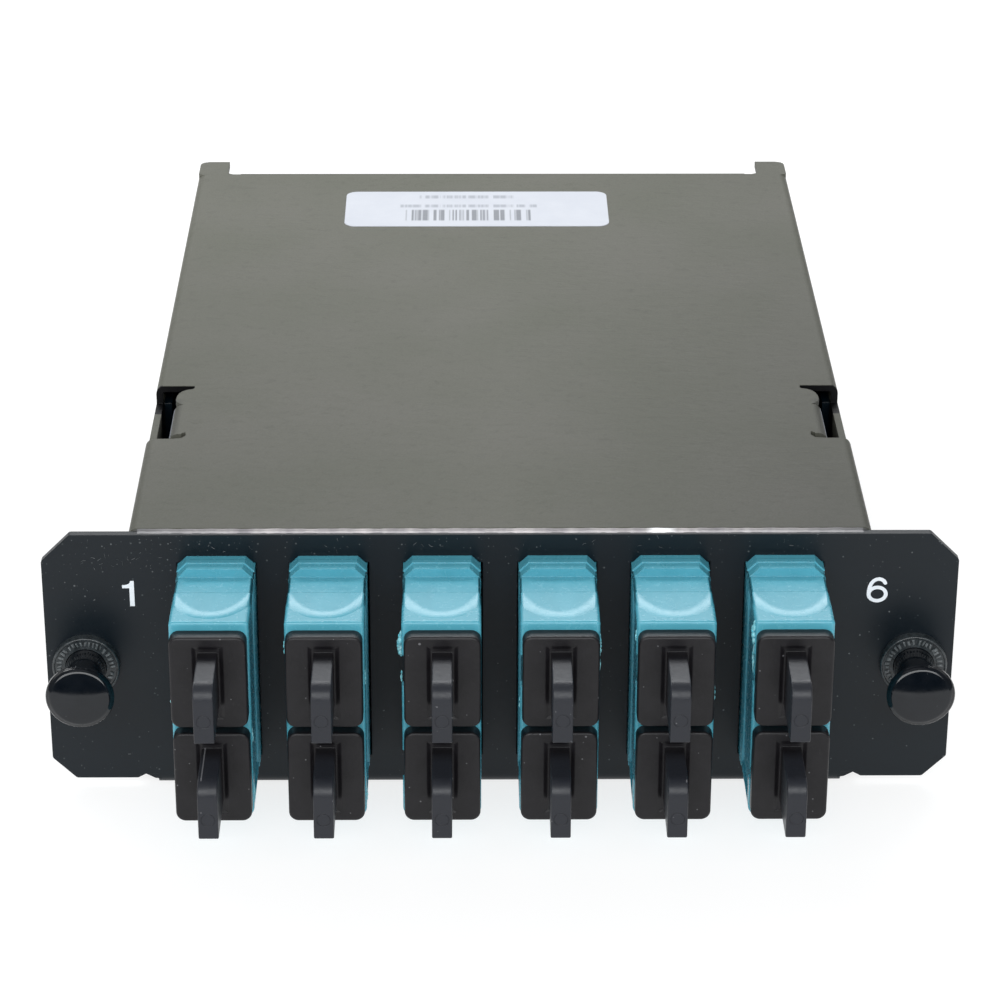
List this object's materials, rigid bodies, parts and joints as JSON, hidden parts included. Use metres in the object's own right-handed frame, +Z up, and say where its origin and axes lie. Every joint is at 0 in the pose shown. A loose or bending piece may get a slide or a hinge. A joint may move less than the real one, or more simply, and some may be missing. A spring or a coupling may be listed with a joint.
{
  "type": "fibre adapter cassette",
  "caption": "Flat folded-steel fibre cassette with a winged front plate, aqua duplex SC adapters with black dust caps, push-pull latches on the wings and a rear multi-fibre port.",
  "frame": {"origin": "midway between the axes of the two latches, on the rear (seating) face of the front plate", "axes": "+X to the right seen from the front, +Y from the front plate into the panel towards the rear port, +Z up; the dust caps face -Y"},
  "size_m": [0.1094, 0.1579, 0.0349],
  "materials": {
    "tray_paint": "fine-textured black powder coat on sheet steel",
    "cover_paint": "fine-textured dark grey powder coat on sheet steel",
    "screw_steel": "black zinc",
    "label_film": "satin white polyester label, no print that names anything",
    "adapter_aqua": "moulded aqua plastic, satin",
    "clip_steel": "bare spring steel",
    "cap_black": "soft black moulded plastic",
    "connector_beige": "moulded beige plastic",
    "sleeve_ceramic": "polished zirconia",
    "latch_nylon": "glossy black nylon",
    "mpo_black": "moulded black plastic",
    "mpo_aqua": "moulded aqua plastic",
    "mpo_cap": "soft dark grey moulded plastic",
    "fibre_jacket": "aqua fibre jacket"
  },
  "bodies": {
    "housing": {"base_tray": "tray_paint", "top_cover": "cover_paint", "cover_screws": "screw_steel", "top_label": "label_film", "adapter_1": "adapter_aqua", "adapter_2": "adapter_aqua", "adapter_3": "adapter_aqua", "adapter_4": "adapter_aqua", "adapter_5": "adapter_aqua", "adapter_6": "adapter_aqua", "adapter_clip_1": "clip_steel", "adapter_clip_2": "clip_steel", "adapter_clip_3": "clip_steel", "adapter_clip_4": "clip_steel", "adapter_clip_5": "clip_steel", "adapter_clip_6": "clip_steel", "dust_cap_1_upper": "cap_black", "dust_cap_1_lower": "cap_black", "dust_cap_2_upper": "cap_black", "dust_cap_2_lower": "cap_black", "dust_cap_3_upper": "cap_black", "dust_cap_3_lower": "cap_black", "dust_cap_4_upper": "cap_black", "dust_cap_4_lower": "cap_black", "dust_cap_5_upper": "cap_black", "dust_cap_5_lower": "cap_black", "dust_cap_6_upper": "cap_black", "dust_cap_6_lower": "cap_black", "sc_connector_1_upper": "connector_beige", "sc_connector_1_lower": "connector_beige", "sc_connector_2_upper": "connector_beige", "sc_connector_2_lower": "connector_beige", "sc_connector_3_upper": "connector_beige", "sc_connector_3_lower": "connector_beige", "sc_connector_4_upper": "connector_beige", "sc_connector_4_lower": "connector_beige", "sc_connector_5_upper": "connector_beige", "sc_connector_5_lower": "connector_beige", "sc_connector_6_upper": "connector_beige", "sc_connector_6_lower": "connector_beige", "alignment_sleeves": "sleeve_ceramic", "grommet_left": "latch_nylon", "grommet_right": "latch_nylon", "mpo_adapter": "mpo_black", "mpo_connector": "mpo_aqua", "mpo_dust_cap": "mpo_cap", "fanout_block": "mpo_black", "fibre_harness": "fibre_jacket", "trunk_cable": "fibre_jacket"},
    "left_latch": {"plunger_left": "latch_nylon"},
    "right_latch": {"plunger_right": "latch_nylon"}
  },
  "joints": [
    {"name": "left_latch_push", "type": "slide", "parent": "housing", "child": "left_latch", "axis": [0, 1, 0], "range_m": [0, 0.0064]},
    {"name": "right_latch_push", "type": "slide", "parent": "housing", "child": "right_latch", "axis": [0, 1, 0], "range_m": [0, 0.0064]}
  ]
}
